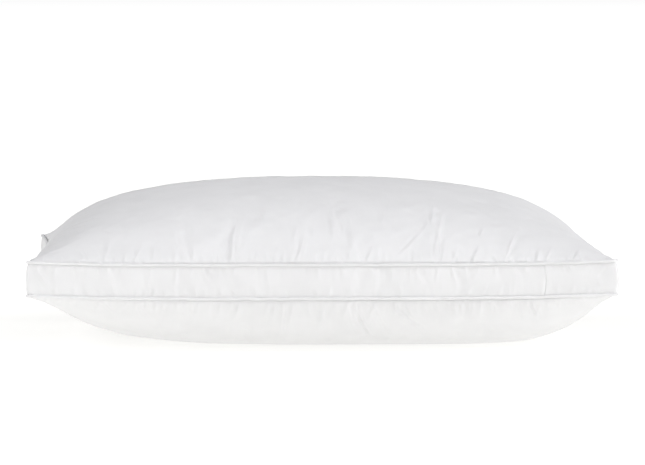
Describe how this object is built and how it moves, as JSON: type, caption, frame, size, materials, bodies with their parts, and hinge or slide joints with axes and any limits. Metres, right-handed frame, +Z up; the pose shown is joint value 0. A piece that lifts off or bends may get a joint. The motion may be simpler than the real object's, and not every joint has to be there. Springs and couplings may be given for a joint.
{
  "type": "bed pillow",
  "caption": "Filled bed pillow: two crowned cotton panels joined by a narrow gusset with piping in both seams, and a blank label that swings at the back.",
  "frame": {"origin": "bottom centre of the pillow's box, on the surface that the pillow lies on", "axes": "+X along the pillow's length, +Y along its width towards the back with the label, +Z up"},
  "size_m": [0.6462, 0.4936, 0.1852],
  "materials": {
    "percale": "matte",
    "piping_percale": "matte",
    "piping_cord": "matte",
    "thread": "satin",
    "fibre_fill": "matte",
    "label_satin": "satin"
  },
  "bodies": {
    "pillow": {"top_panel": "percale", "bottom_panel": "percale", "gusset_strip": "percale", "gusset_join_thread": "thread", "upper_piping_cover": "piping_percale", "upper_piping_cord": "piping_cord", "lower_piping_cover": "piping_percale", "lower_piping_cord": "piping_cord", "upper_seam_thread": "thread", "lower_seam_thread": "thread", "closing_thread": "thread", "fill": "fibre_fill", "label_tab": "label_satin"},
    "label": {"care_label": "label_satin"}
  },
  "joints": [
    {"name": "label_swing", "type": "hinge", "parent": "pillow", "child": "label", "pos_m": [-0.06, 0.23311, 0.05771], "axis": [1, 0, 0], "range_deg": [0, 130]}
  ]
}
